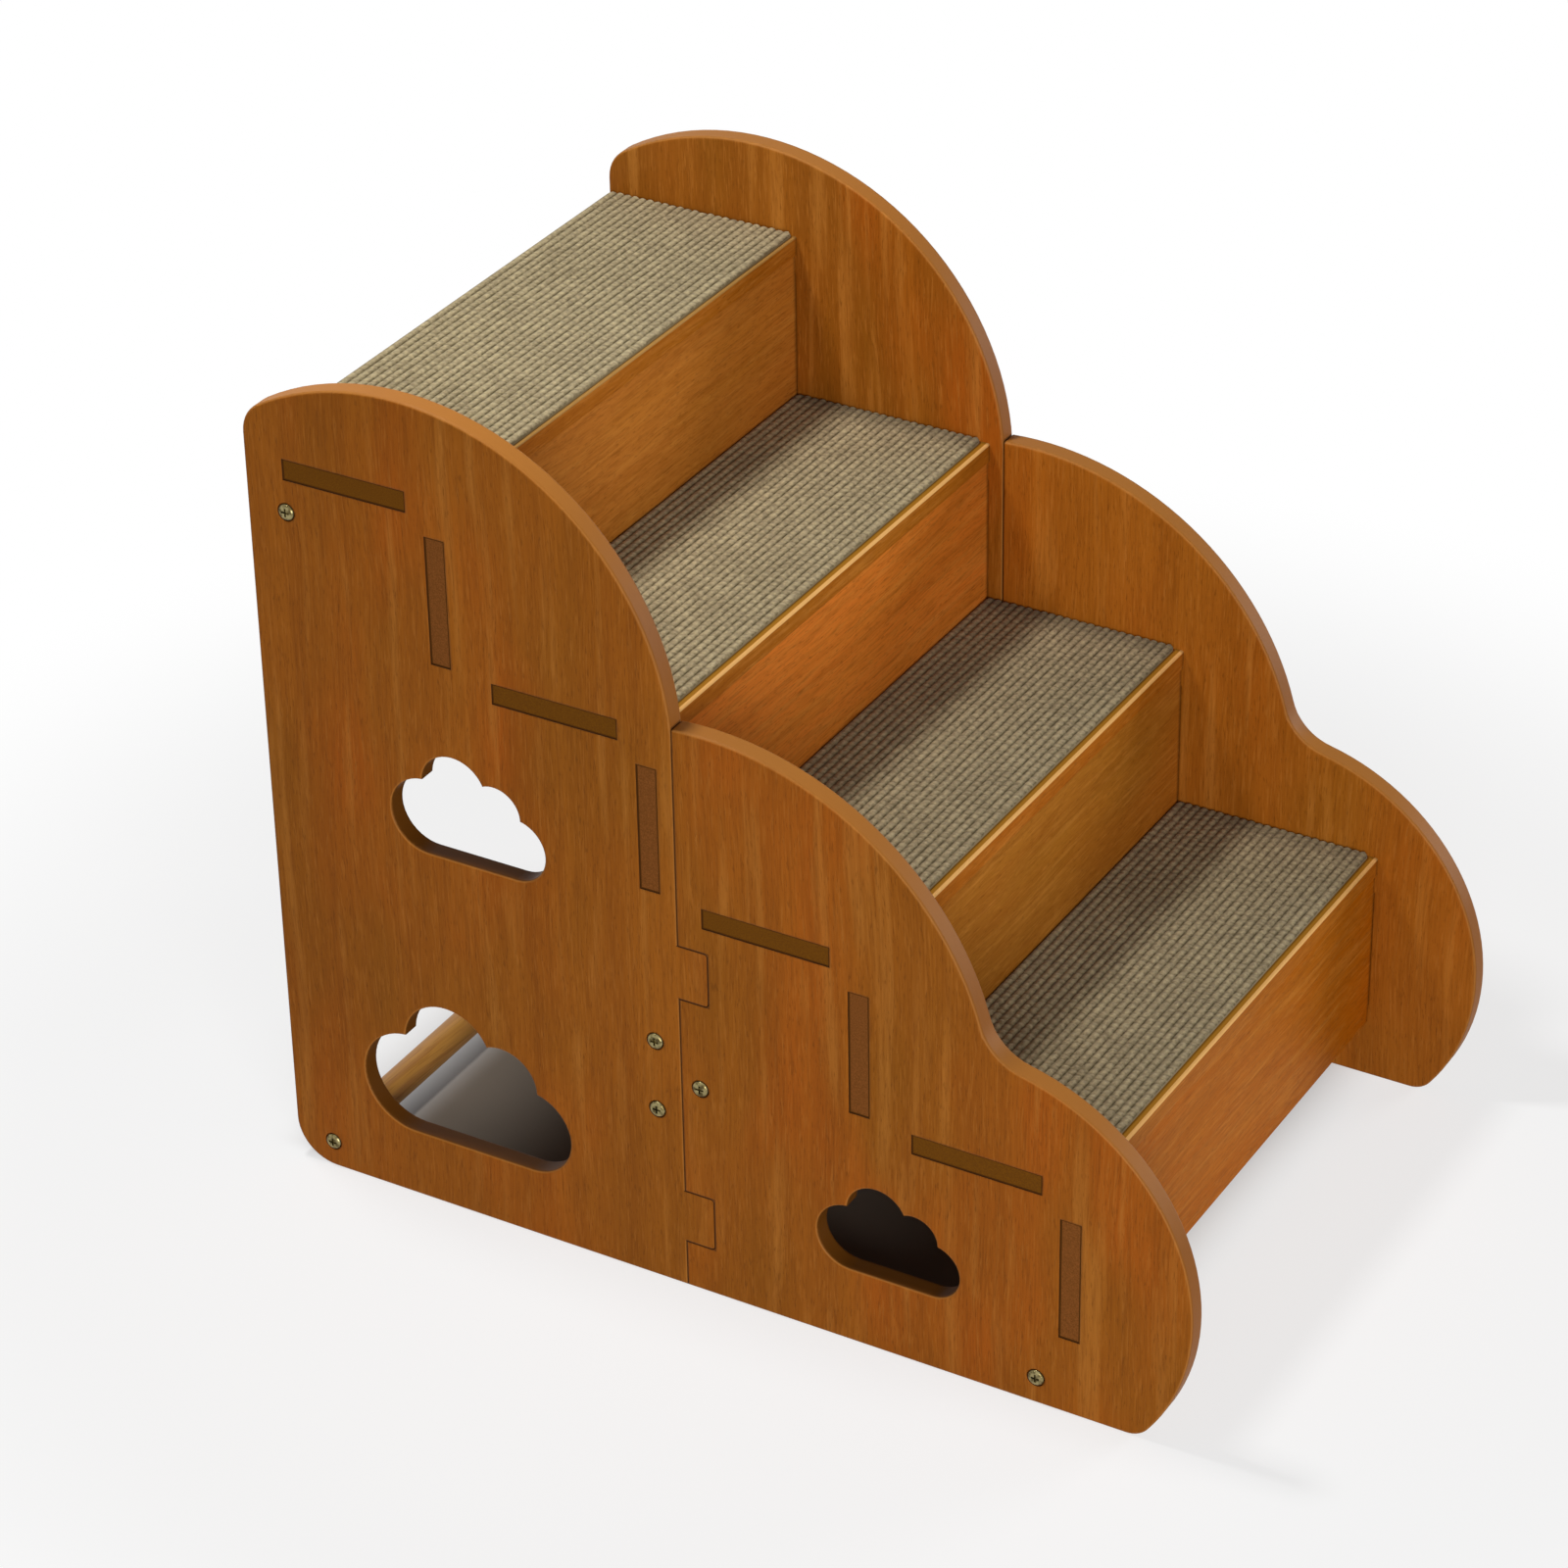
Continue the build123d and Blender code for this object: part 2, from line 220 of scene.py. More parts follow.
def grain_foil_on_wall_board(name, tone, patch):
    """Wood-grain foil on fibreboard: a printed grain under satin lacquer, so streaks of colour
    with hardly any relief. The rim is banded, and painted light makes it paler where it lies level
    and darker where it is steep. Its arris is rubbed, with a painted highlight along it. The cuts
    are brown, the slots are darkened partly with painted shade, and the seam is a dark line of grime
    and painted shade."""
    material, tree, shader = bare_material(name)
    colour, fibre = wood_grain(tree, tone, wall_grain, "Z", patch)
    facing = add(tree, "SeparateXYZ", {0: add(tree, "TexCoord").outputs["Normal"]}).outputs
    flatness = add(tree, "Math", {0: facing["Y"]}, operation="ABSOLUTE").outputs[0]
    # Painted light: the rim is paler where it faces up and darker where it is steep.
    level = add(tree, "MapRange", {"Value": facing["Z"], "From Min": level_turn[0],
                                   "From Max": level_turn[1]}).outputs[0]
    rim = add(tree, "MixRGB", {"Fac": level, "Color1": to_linear(painted_shade_steep_rim_tone),
                               "Color2": to_linear(painted_light_level_rim_tone)}).outputs[0]
    # The arris gets a painted highlight, and the rim gets its band.
    for turn, share, turned_colour in ((arris_turn, painted_highlight_arris_share, to_linear(painted_highlight_arris_tone)),
                                       (edge_turn, edge_band_share, rim)):
        edge = add(tree, "MapRange", {"Value": flatness, "From Min": turn[0], "From Max": turn[1]}).outputs[0]
        turned = add(tree, "Math", {0: edge, 1: share}, operation="MULTIPLY").outputs[0]
        colour = add(tree, "MixRGB", {"Fac": turned, "Color1": colour, "Color2": turned_colour}).outputs[0]
    # The window cuts are raw brown board. In the slots the brown is partly painted shade.
    for cuts, cut_tone in ((window_cuts, window_cut_tone), (slot_cuts, slot_cut_and_shade_tone)):
        raw = add(tree, "Math", {0: cut_share(tree, cuts), 1: edge}, operation="MULTIPLY").outputs[0]
        colour = add(tree, "MixRGB", {"Fac": raw, "Color1": colour, "Color2": to_linear(cut_tone)}).outputs[0]
    # The seam is a dark line of grime and painted shade.
    joint = add(tree, "Math", {0: seam_share(tree), 1: seam_grime_and_shade_share}, operation="MULTIPLY").outputs[0]
    colour = add(tree, "MixRGB", {"Fac": joint, "Color1": colour,
                                  "Color2": to_linear(slot_cut_and_shade_tone)}).outputs[0]
    rubbed = add(tree, "Bevel", {"Radius": rubbed_round}, samples=4).outputs[0]
    relief = add(tree, "Bump", {"Height": fibre, "Strength": grain_relief_strength,
                                "Distance": grain_relief, "Normal": rubbed}).outputs[0]
    shader.inputs["Roughness"].default_value = 0.5
    shader.inputs["IOR"].default_value = 1.5
    shader.inputs["Specular IOR Level"].default_value = 0.1
    tree.links.new(colour, shader.inputs["Base Color"])
    tree.links.new(relief, shader.inputs["Normal"])
    return material


def finish_node(node, material):
    """Gives a part of the frame its finish in place of the plain one it was packed with."""
    piece = frame["nodes"][node]
    piece.data.materials.clear()
    piece.data.materials.append(material)


for board, (wall_tone, patch) in wall_foils.items():
    finish_node(board, grain_foil_on_wall_board(board + "_foil", wall_tone, patch))


# Treads and risers. Eight flat boards of the same foiled fibreboard, cut to length, each held in
# the walls by a tenon at either end. Their grain runs across the stairs, the tread's nose has a
# golden painted highlight, and the tenons' ends are raw board with a rim of painted shade.
step_tones = {"tread": "#A65E14", "riser_1": "#AE5E08", "riser_2": "#A0641E",
              "riser_3": "#D27628", "riser_4": "#B87028"}
# Streaks as on the walls, with the finest rows drawn just as coarse.
step_grain = (
    (110, 300, 0.46, 0.68, "#BC5C12", 0.30),
    (80, 260, 0.50, 0.70, "#905A12", 0.35),
    (24, 420, 0.48, 0.70, "#C07A26", 0.28),
    (14, 300, 0.50, 0.70, "#92500E", 0.28),
    (5, 120, 0.52, 0.68, "#D08C3C", 0.28),
    (2.6, 60, 0.50, 0.68, "#884A0C", 0.28),
    (1.6, 24, 0.50, 0.68, "#80440A", 0.34),
    (1.5, 16, 0.54, 0.70, "#C88438", 0.30),
    (1.0, 7, 0.58, 0.70, "#653508", 0.40),
)
# The nose tones are painted highlights on the nose's rounded edge.
nose_highlight_tone = "#E6B068"
top_nose_highlight_tone = "#A87C40"
behind_band_tone = "#A26E20"
tread_end_tone = "#84520E"
riser_end_tone = "#9C5E2C"
# The dark rim round a tenon's end is painted shade from the slot's edge, and its tone also draws the end's
# grain.
end_rim = 1.0 * mm
end_rim_shade_and_grain_tone = "#55320E"
highlight_width = 2.6 * mm
behind_band_width = 4.6 * mm
# The joints at the walls are darkened with painted shade.
joint_shade_from = 231 * mm
joint_shade_to = 235.5 * mm
joint_shade_tone = "#4A2A0A"
joint_shade_share = 0.7
nose_turn = (0.04, 0.20)
end_turn = (0.6, 0.9)
next_tread_patch = Vector((1.3, 0.7, 0.0))
next_riser_patch = Vector((0.4, 1.9, 0.0))
first_riser_patch = Vector((0.0, 0.0, 3.1))


def grain_foil_on_step_board(name, tone, patch, end_tone, end, nose_x=None, highlight_tone=None):
    """The same satin foil as on the walls, with its grain lying across the stairs. The tenon's end
    is raw board, with painted shade as a dark rim round it, and painted shade darkens the joints at
    the walls. Where nose_x is given, the nose has a painted highlight as a bright band, and the foil
    behind it is brown up to the mat."""
    material, tree, shader = bare_material(name)
    colour, fibre = wood_grain(tree, tone, step_grain, "Y", patch)
    facing = add(tree, "SeparateXYZ", {0: add(tree, "TexCoord").outputs["Normal"]}).outputs
    # The nose's bright band is a painted highlight.
    if nose_x is not None:
        along = add(tree, "SeparateXYZ", {0: add(tree, "TexCoord").outputs["Object"]}).outputs["X"]
        turning = add(tree, "Math", {0: facing["X"], 1: facing["Z"]}, operation="MULTIPLY").outputs[0]
        turned = add(tree, "MapRange", {"Value": turning, "From Min": nose_turn[0],
                                        "From Max": nose_turn[1]}).outputs[0]
        for width, mark_tone, always in ((highlight_width + behind_band_width, behind_band_tone, 0.0),
                                         (highlight_width, highlight_tone, turned)):
            ahead = add(tree, "Math", {0: along, 1: nose_x - width}, operation="GREATER_THAN").outputs[0]
            on_top = add(tree, "Math", {0: ahead, 1: facing["Z"]}, operation="MULTIPLY").outputs[0]
            share = add(tree, "Math", {0: on_top, 1: always}, operation="MAXIMUM", use_clamp=True).outputs[0]
            colour = add(tree, "MixRGB", {"Fac": share, "Color1": colour,
                                          "Color2": to_linear(mark_tone)}).outputs[0]
    # Painted shade at the joints with the walls.
    across = add(tree, "SeparateXYZ", {0: add(tree, "TexCoord").outputs["Object"]}).outputs["Y"]
    aside = add(tree, "Math", {0: across}, operation="ABSOLUTE").outputs[0]
    joint = add(tree, "MapRange", {"Value": aside, "From Min": joint_shade_from, "From Max": joint_shade_to,
                                   "To Min": 0.0, "To Max": joint_shade_share}).outputs[0]
    colour = add(tree, "MixRGB", {"Fac": joint, "Color1": colour, "Color2": to_linear(joint_shade_tone)}).outputs[0]
    raw = add(tree, "Math", {0: facing["Y"]}, operation="ABSOLUTE").outputs[0]
    raw = add(tree, "MapRange", {"Value": raw, "From Min": end_turn[0], "From Max": end_turn[1]}).outputs[0]
    # Painted shade as a dark rim round the tenon's end.
    middle = cut_share(tree, [(end[0], end[1], end[2] - end_rim, end[3] - end_rim)])
    end_colour = add(tree, "MixRGB", {"Fac": middle, "Color1": to_linear(end_rim_shade_and_grain_tone),
                                      "Color2": to_linear(end_tone)}).outputs[0]
    end_colour = add(tree, "MixRGB", {"Fac": fibre, "Color1": to_linear(end_rim_shade_and_grain_tone),
                                      "Color2": end_colour}).outputs[0]
    colour = add(tree, "MixRGB", {"Fac": raw, "Color1": colour, "Color2": end_colour}).outputs[0]
    relief = add(tree, "Bump", {"Height": fibre, "Strength": grain_relief_strength,
                                "Distance": grain_relief}).outputs[0]
    shader.inputs["Roughness"].default_value = 0.5
    shader.inputs["IOR"].default_value = 1.5
    shader.inputs["Specular IOR Level"].default_value = 0.04
    tree.links.new(colour, shader.inputs["Base Color"])
    tree.links.new(relief, shader.inputs["Normal"])
    return material


for step in (1, 2, 3, 4):
    tread, riser = f"tread_{step}", f"riser_{step}"
    tread_end = around(*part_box(tread), width=tenon_width, margin=0.0)
    riser_end = around(*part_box(riser), height=tenon_height, margin=0.0)
    highlight_tone = top_nose_highlight_tone if step == 4 else nose_highlight_tone
    finish_node(tread, grain_foil_on_step_board(tread + "_foil", step_tones["tread"], step * next_tread_patch,
                                                tread_end_tone, tread_end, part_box(tread)[1].x, highlight_tone))
    riser_patch = first_riser_patch + step * next_riser_patch
    finish_node(riser, grain_foil_on_step_board(riser + "_foil", step_tones[riser], riser_patch,
                                                riser_end_tone, riser_end))


# Mats. Four pieces of ribbed grey-beige carpet, woven of a thick two-tone yarn on a thin backing,
# cut to the tread and stuck down. The ribs run across the stairs, and each rib is a row of uneven
# nubs that sits about half a nub aside of the next.
rib_pitch = 6.6 * mm
nub_length = 7.4 * mm
nub_length_spread = 0.55
rib_rise = 1.6 * mm
nub_dip = 0.45
nub_unevenness = 0.20
rib_roundness = 0.8
nub_roundness = 0.8
rib_points = 6
nub_points = 6
mat_corner = 2.5 * mm
top_mat_past_back = 3 * mm
top_mat_past_front = 4 * mm
# The lower mats' tones are painted shade: darker and greyer where less light reaches down the stairs.
yarn_tones = {"upper": ("#BFAE86", "#948464", "#625435"), "lower_shaded": ("#B1A17C", "#897A5C", "#5B4E31")}
cut_edge_tone = "#7C6C48"
groove_from, groove_to = 3.7 * mm, 2.6 * mm
cut_edge_from, cut_edge_to = 1.8 * mm, 1.6 * mm
shaded_up_to = 2
# The mats' ends along the walls are darkened with painted shade.
shade_at_ends = {1: 0.42, 2: 0.58, 3: 0.60, 4: 0.08}
shade_at_ends_from = 208 * mm
shade_at_ends_to = 233 * mm
shade_at_ends_tone = "#3E3420"
# The yarn is twisted of two tones every millimetre or so. Its flecks are drawn 2.4 mm apart to show.
yarn_fleck = 2.4 * mm
yarn_fleck_range = (0.50, 0.88)
crossing_yarn = 3.6 * mm
crossing_yarn_range = (0.62, 0.42)
crossing_yarn_darkness = 0.5
yarn_mottle = 34 * mm
yarn_mottle_share = 0.35
# Single fibres are far finer than 0.6 mm, which is what a picture of the whole mat can show.
yarn_fibre = 0.6 * mm
yarn_fibre_relief = 0.3 * mm
yarn_fibre_strength = 0.4


def woven_carpet(step):
    """Ribbed carpet of polyester yarn, matt and fibrous: pale nubs, dark in the grooves between
    them where little light gets in and no crossing yarn lies, and a soft sheen at a flat angle. The
    lower mats are painted a little greyer and darker as shade, and painted shade darkens the ends
    along the walls."""
    material, tree, shader = bare_material(f"ribbed_carpet_{step}")
    # The lower mats take the painted shade tones.
    use = "lower_shaded" if step <= shaded_up_to else "upper"
    yarn_light_tone, yarn_dark_tone, between_ribs_tone = yarn_tones[use]
    place = add(tree, "TexCoord").outputs["Object"]
    spot = add(tree, "SeparateXYZ", {0: place}).outputs
    fleck = add(tree, "TexNoise", {"Vector": place, "Scale": 1 / yarn_fleck, "Detail": 2.0}).outputs[0]
    mottle = add(tree, "TexNoise", {"Vector": place, "Scale": 1 / yarn_mottle, "Detail": 2.0}).outputs[0]
    both = add(tree, "Math", {0: mottle, 1: yarn_mottle_share, 2: fleck}, operation="MULTIPLY_ADD").outputs[0]
    dark = add(tree, "MapRange", {"Value": both, "From Min": yarn_fleck_range[0],
                                  "From Max": yarn_fleck_range[1]}).outputs[0]
    yarn = add(tree, "MixRGB", {"Fac": dark, "Color1": to_linear(yarn_light_tone),
                                "Color2": to_linear(yarn_dark_tone)}).outputs[0]
    groove = add(tree, "MapRange", {"Value": spot["Z"], "From Min": groove_from,
                                    "From Max": groove_to}).outputs[0]
    crossing = add(tree, "TexNoise", {"Vector": place, "Scale": 1 / crossing_yarn, "Detail": 1.0}).outputs[0]
    crossing = add(tree, "MapRange", {"Value": crossing, "From Min": crossing_yarn_range[0],
                                      "From Max": crossing_yarn_range[1],
                                      "To Min": crossing_yarn_darkness, "To Max": 1.0}).outputs[0]
    groove = add(tree, "Math", {0: groove, 1: crossing}, operation="MULTIPLY").outputs[0]
    colour = add(tree, "MixRGB", {"Fac": groove, "Color1": yarn,
                                  "Color2": to_linear(between_ribs_tone)}).outputs[0]
    # Painted shade towards the ends along the walls.
    aside = add(tree, "Math", {0: spot["Y"]}, operation="ABSOLUTE")
    shade_near_ends = add(tree, "MapRange", {"Value": aside.outputs[0], "From Min": shade_at_ends_from, "From Max": shade_at_ends_to,
                                  "To Min": 0.0, "To Max": shade_at_ends[step]}).outputs[0]
    colour = add(tree, "MixRGB", {"Fac": shade_near_ends, "Color1": colour, "Color2": to_linear(shade_at_ends_tone)}).outputs[0]
    cut_edge = add(tree, "MapRange", {"Value": spot["Z"], "From Min": cut_edge_from,
                                      "From Max": cut_edge_to}).outputs[0]
    colour = add(tree, "MixRGB", {"Fac": cut_edge, "Color1": colour,
                                  "Color2": to_linear(cut_edge_tone)}).outputs[0]
    fibres = add(tree, "TexNoise", {"Vector": place, "Scale": 1 / yarn_fibre, "Detail": 2.0}).outputs[0]
    relief = add(tree, "Bump", {"Height": fibres, "Strength": yarn_fibre_strength,
                                "Distance": yarn_fibre_relief}).outputs[0]
    shader.inputs["Roughness"].default_value = 0.92
    shader.inputs["IOR"].default_value = 1.45
    shader.inputs["Specular IOR Level"].default_value = 0.25
    shader.inputs["Sheen Weight"].default_value = 0.15
    tree.links.new(colour, shader.inputs["Base Color"])
    tree.links.new(relief, shader.inputs["Normal"])
    return material


def ribbed_mat(name, low, high, seed):
    """A closed mat over the box: a flat underside, upright cut edges and a ribbed, nubbed top."""
    uneven = random.Random(seed)
    depth, width, thick = high.x - low.x, high.y - low.y, high.z - low.z
    ribs, nubs = round(depth / rib_pitch), round(width / nub_length)
    columns, rows = ribs * rib_points, nubs * nub_points
    nub_heights = [[1 - nub_unevenness * uneven.random() for _ in range(nubs + 2)] for _ in range(ribs)]
    nub_starts = [[nub + nub_length_spread * (uneven.random() - 0.5) for nub in range(nubs + 3)]
                  for _ in range(ribs)]

    def corner_inset(away_from_end):
        """How far the side edge is drawn in at that distance from the mat's end."""
        short = max(0.0, mat_corner - away_from_end)
        return mat_corner - math.sqrt(mat_corner ** 2 - short ** 2)

    def place(column, row):
        """A point of the top: where it is, and how high the yarn stands there."""
        rib = min(column // rib_points, ribs - 1)
        across = column / rib_points - rib
        along = row / nub_points + (0.5 if rib % 2 else 0.0)
        starts = nub_starts[rib]
        here = min(int(along), nubs + 1)
        here += (along >= starts[here + 1]) - (along < starts[here])
        here = max(0, min(here, nubs + 1))
        within = (along - starts[here]) / (starts[here + 1] - starts[here])
        crown = max(0.0, math.sin(math.pi * across)) ** rib_roundness
        nub = math.sin(math.pi * max(0.0, min(1.0, within))) ** nub_roundness
        tall = nub_heights[rib][here]
        rise = rib_rise * crown * tall * (1 - nub_dip * (1 - nub))
        x, y = depth * (column / columns - 0.5), width * (row / rows - 0.5)
        limit = depth / 2 - corner_inset(width / 2 - abs(y))
        return max(-limit, min(limit, x)), y, thick - rib_rise + rise

    top = [place(column, row) for column in range(columns + 1) for row in range(rows + 1)]
    edge = [row for row in range(rows + 1)]
    edge += [column * (rows + 1) + rows for column in range(1, columns + 1)]
    edge += [columns * (rows + 1) + row for row in range(rows - 1, -1, -1)]
    edge += [column * (rows + 1) for column in range(columns - 1, 0, -1)]
    under = [(top[i][0], top[i][1], 0.0) for i in edge]
    faces = []
    for column in range(columns):
        for row in range(rows):
            corner = column * (rows + 1) + row
            faces.append((corner, corner + rows + 1, corner + rows + 2, corner + 1))
    for i, here in enumerate(edge):
        after = (i + 1) % len(edge)
        faces.append((here, edge[after], len(top) + after, len(top) + i))
    faces.append(tuple(len(top) + i for i in range(len(edge))))
    mesh = bpy.data.meshes.new(name)
    mesh.from_pydata(top + under, [], faces)
    mesh.update()
    mat = bpy.data.objects.new(name, mesh)
    bpy.context.scene.collection.objects.link(mat)
    mat.location = ((low.x + high.x) / 2, (low.y + high.y) / 2, low.z)
    return mat


for step in (1, 2, 3, 4):
    low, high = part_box(f"mat_{step}")
    if step == 4:
        low.x -= top_mat_past_back
        high.x += top_mat_past_front
    mat = ribbed_mat(f"ribbed_mat_{step}", low, high, seed=step)
    mat.data.materials.append(woven_carpet(step))
    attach(mat, "root")
    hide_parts(f"mat_{step}")


# Crossbars. Three turned hardwood dowels, 24 mm thick, that hold the walls apart near the floor
# and behind the top step. Each is drawn up by a screw through either wall into its end grain.
dowels = ("rear_top_bar", "rear_bottom_bar", "front_bottom_bar")
dowel_tone = "#B88436"
# Beech has finer pores than the last row, which is drawn coarse enough to show.
dowel_grain = (
    (14, 300, 0.44, 0.66, "#C68B48", 0.55),
    (5, 160, 0.48, 0.68, "#99602A", 0.50),
    (1.4, 40, 0.50, 0.68, "#85501F", 0.45),
)
dowel_patch = (0.0, 0.6, 0.2)
dowel_relief = 0.2 * mm
dowel_relief_strength = 0.2


def turned_dowel_wood():
    """Beech dowel, turned and wiped with oil: long fine grain and a soft gloss round the bar."""
    material, tree, shader = bare_material("oiled_beech_dowel")
    colour, fibre = wood_grain(tree, dowel_tone, dowel_grain, "Y", dowel_patch)
    relief = add(tree, "Bump", {"Height": fibre, "Strength": dowel_relief_strength,
                                "Distance": dowel_relief}).outputs[0]
    shader.inputs["Roughness"].default_value = 0.5
    shader.inputs["IOR"].default_value = 1.5
    tree.links.new(colour, shader.inputs["Base Color"])
    tree.links.new(relief, shader.inputs["Normal"])
    return material


dowel_wood = turned_dowel_wood()
for dowel in dowels:
    finish_node(dowel, dowel_wood)


# Joining plates. A small fibreboard plate lies over the seam inside each wall, with the walls' own
# foil on its face, and three screws through the wall hold the two boards to it.
plate_tone = "#9E5A16"
plate_patches = {"near_joining_plate": (5.1, 0.3, 1.1), "far_joining_plate": (6.1, 0.3, 1.1)}
for plate, patch in plate_patches.items():
    finish_node(plate, grain_foil_on_wall_board(plate + "_foil", plate_tone, patch))


# Screws. Pan-head screws of nickel-plated steel with a cross recess, seated in shallow counterbores.
# The plating has gone slightly yellow.
nickel_tone = "#988C62"
nickel_tarnish_tone = "#564A2C"
tarnish_patch = 4 * mm
tarnish_range = (0.42, 0.62)
polish_range = (0.35, 0.65)
polished_roughness, clouded_roughness = 0.24, 0.42


def tarnished_nickel():
    """Nickel-plated steel, pressed and barrel-polished: a warm grey metal, bright where it turns to
    the light and clouded by tarnish in patches."""
    material, tree, shader = bare_material("tarnished_nickel_plate")
    place = add(tree, "TexCoord").outputs["Object"]
    cloud = add(tree, "TexNoise", {"Vector": place, "Scale": 1 / tarnish_patch, "Detail": 3.0}).outputs[0]
    amount = add(tree, "MapRange", {"Value": cloud, "From Min": tarnish_range[0],
                                    "From Max": tarnish_range[1]}).outputs[0]
    colour = add(tree, "MixRGB", {"Fac": amount, "Color1": to_linear(nickel_tone),
                                  "Color2": to_linear(nickel_tarnish_tone)}).outputs[0]
    dullness = add(tree, "MapRange", {"Value": cloud, "From Min": polish_range[0],
                                      "From Max": polish_range[1], "To Min": polished_roughness,
                                      "To Max": clouded_roughness}).outputs[0]
    shader.inputs["Metallic"].default_value = 1.0
    tree.links.new(colour, shader.inputs["Base Color"])
    tree.links.new(dullness, shader.inputs["Roughness"])
    return material


nickel = tarnished_nickel()
for screws in ("rear_top_bar_screws", "rear_bottom_bar_screws", "front_bottom_bar_screws",
               "near_plate_screws", "far_plate_screws"):
    finish_node(screws, nickel)


# Floor. A plain pale studio floor, which isn't part of the stairs. What looks at it directly or in
# a reflection sees it near white, with the stairs' soft shadow on it, and with painted shade between
# the walls under the stairs.
floor_half_size = 9.0
floor_tone = "#B9B2A8"
floor_seen_tone = "#FFFFFF"
# The tone under the stairs, between the walls, is painted shade.
floor_painted_shade_tone = "#80766A"
shade_middle_x = -0.055
shade_half_length = 0.305
shade_fade = 0.055
shade_outer_y, shade_inner_y = (corner.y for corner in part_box("near_rear_side"))
shadow_reach = 0.60
plain_reach = 1.10
glow_near_stairs = 0.68


def painted_floor():
    """Matt pale paint: lit like any paint, and where it is looked at, as white as the room away
    from the stairs, with painted shade between the walls under the stairs."""
    material, tree, shader = bare_material("pale_floor_paint")
    shader.inputs["Base Color"].default_value = to_linear(floor_tone)
    shader.inputs["Roughness"].default_value = 0.95
    shader.inputs["Specular IOR Level"].default_value = 0.0
    ray = add(tree, "LightPath").outputs
    seen = add(tree, "Math", {0: ray["Is Camera Ray"], 1: ray["Is Glossy Ray"]}, operation="MAXIMUM")
    seen = add(tree, "Math", {0: seen.outputs[0], 1: ray["Is Transmission Ray"]}, operation="MAXIMUM")
    place = add(tree, "TexCoord").outputs["Object"]
    spot = add(tree, "SeparateXYZ", {0: place}).outputs
    along = add(tree, "Math", {0: spot["X"], 1: shade_middle_x}, operation="SUBTRACT").outputs[0]
    shade = 1.0
    for aside, full, none in ((along, shade_half_length - shade_fade, shade_half_length + shade_fade),
                              (spot["Y"], -shade_inner_y, -shade_outer_y)):
        aside = add(tree, "Math", {0: aside}, operation="ABSOLUTE").outputs[0]
        within = add(tree, "MapRange", {"Value": aside, "From Min": none, "From Max": full},
                     interpolation_type="SMOOTHSTEP").outputs[0]
        shade = add(tree, "Math", {0: within, 1: shade}, operation="MULTIPLY").outputs[0]
    # Between the walls the seen tone is painted shade.
    clear = add(tree, "Math", {0: 1.0, 1: shade}, operation="SUBTRACT").outputs[0]
    seen_tone = add(tree, "MixRGB", {"Fac": clear, "Color1": to_linear(floor_painted_shade_tone),
                                     "Color2": to_linear(floor_seen_tone)}).outputs[0]
    paint = add(tree, "BsdfDiffuse", {"Color": seen_tone}).outputs[0]
    glow = add(tree, "Emission", {"Strength": 1.0}).outputs[0]
    away = add(tree, "VectorMath", {0: place}, operation="LENGTH").outputs["Value"]
    lift = add(tree, "MapRange", {"Value": away, "From Min": shadow_reach, "From Max": plain_reach,
                                  "To Min": glow_near_stairs, "To Max": 1.0},
               interpolation_type="SMOOTHSTEP").outputs[0]
    lift = add(tree, "Math", {0: lift, 1: clear}, operation="MULTIPLY").outputs[0]
    lifted = add(tree, "MixShader", {"Fac": lift, 1: paint, 2: glow}).outputs[0]
    mixed = add(tree, "MixShader", {"Fac": seen.outputs[0], 1: shader.outputs[0], 2: lifted}).outputs[0]
    tree.links.new(mixed, tree.nodes["Material Output"].inputs["Surface"])
    return material


floor_mesh = bpy.data.meshes.new("floor")
floor_mesh.from_pydata([(-floor_half_size, -floor_half_size, 0), (floor_half_size, -floor_half_size, 0),
                        (floor_half_size, floor_half_size, 0), (-floor_half_size, floor_half_size, 0)],
                       [], [(0, 1, 2, 3)])
floor = bpy.data.objects.new("floor", floor_mesh)
floor.data.materials.append(painted_floor())
bpy.context.scene.collection.objects.link(floor)


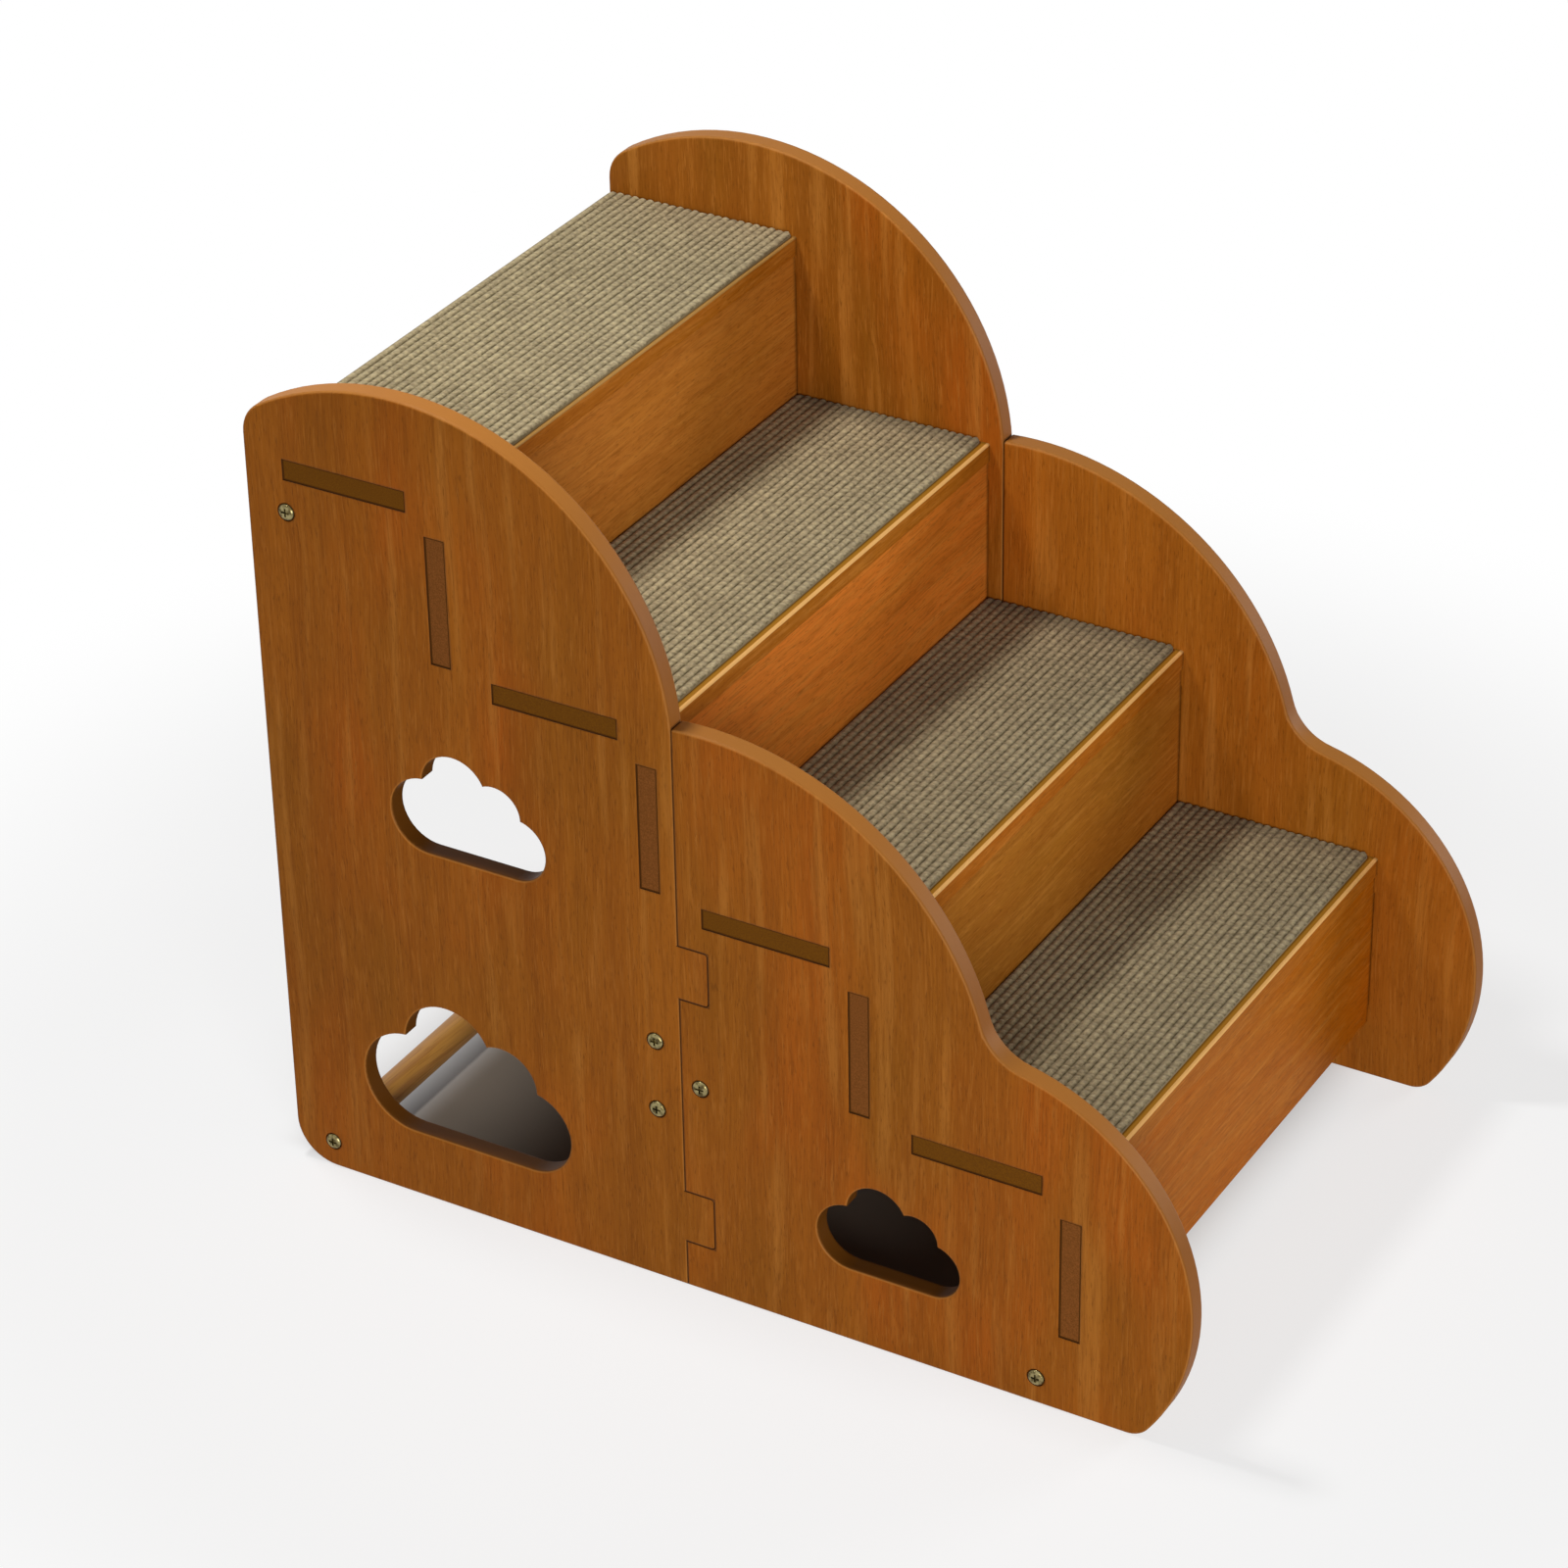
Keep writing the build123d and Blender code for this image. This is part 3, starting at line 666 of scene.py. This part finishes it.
# Light. A soft key lamp above and a little behind throws each riser's shadow on the tread below it,
# wide lamps face the near wall and the far one, and a white room lights the rest.
room_strength = 0.11
lamps = (
    # name, where it stands, what it faces, its width, its power in watts
    ("key_lamp", (-0.60, -0.25, 1.75), (-0.05, 0.0, 0.30), 0.26, 14.2),
    ("fill_lamp", (2.4, -3.0, 1.0), (0.0, 0.0, 0.3), 2.0, 97.0),
    ("far_lamp", (2.6, 3.4, 0.9), (0.0, 0.0, 0.3), 2.0, 82.0),
)


def facing(place, target):
    """A turn that points an object's own -Z from its place to the target, with Y kept upwards."""
    return (Vector(target) - Vector(place)).to_track_quat("-Z", "Y")


for name, place, target, width, watts in lamps:
    light = bpy.data.lights.new(name, "AREA")
    light.shape = "DISK"
    light.size = width
    light.energy = watts
    lamp = bpy.data.objects.new(name, light)
    lamp.location = place
    lamp.rotation_euler = facing(place, target).to_euler()
    bpy.context.scene.collection.objects.link(lamp)

room = bpy.data.worlds.new("white_room")
room.use_nodes = True
bpy.context.scene.world = room
ray = add(room.node_tree, "LightPath").outputs
seen = add(room.node_tree, "Math", {0: ray["Is Camera Ray"], 1: ray["Is Glossy Ray"]}, operation="MAXIMUM")
seen = add(room.node_tree, "Math", {0: seen.outputs[0], 1: ray["Is Transmission Ray"]}, operation="MAXIMUM")
strength = add(room.node_tree, "MapRange", {"Value": seen.outputs[0], "To Min": room_strength, "To Max": 1.0})
room.node_tree.nodes["Background"].inputs["Color"].default_value = (1.0, 1.0, 1.0, 1.0)
room.node_tree.links.new(strength.outputs[0], room.node_tree.nodes["Background"].inputs["Strength"])


# Camera. A long lens from the low end and the near side, above the top step, with a slight roll.
camera_place = Vector((1.53594, -2.75209, 2.21078))
camera_azimuth = math.radians(30.570)
camera_elevation = math.radians(31.166)
camera_roll = math.radians(-1.047)
picture_width = 1600
focal_length_in_pixels = 5117.7
sensor_width = 36.0

camera_data = bpy.data.cameras.new("camera")
camera_data.sensor_width = sensor_width
camera_data.lens = focal_length_in_pixels * sensor_width / picture_width
camera = bpy.data.objects.new("camera", camera_data)
turn = Matrix.Rotation(camera_azimuth, 4, "Z")
tilt = Matrix.Rotation(math.radians(90) - camera_elevation, 4, "X")
roll = Matrix.Rotation(camera_roll, 4, "Z")
camera.matrix_world = Matrix.Translation(camera_place) @ turn @ tilt @ roll
bpy.context.scene.collection.objects.link(camera)
bpy.context.scene.camera = camera
bpy.context.scene.view_settings.view_transform = "Standard"
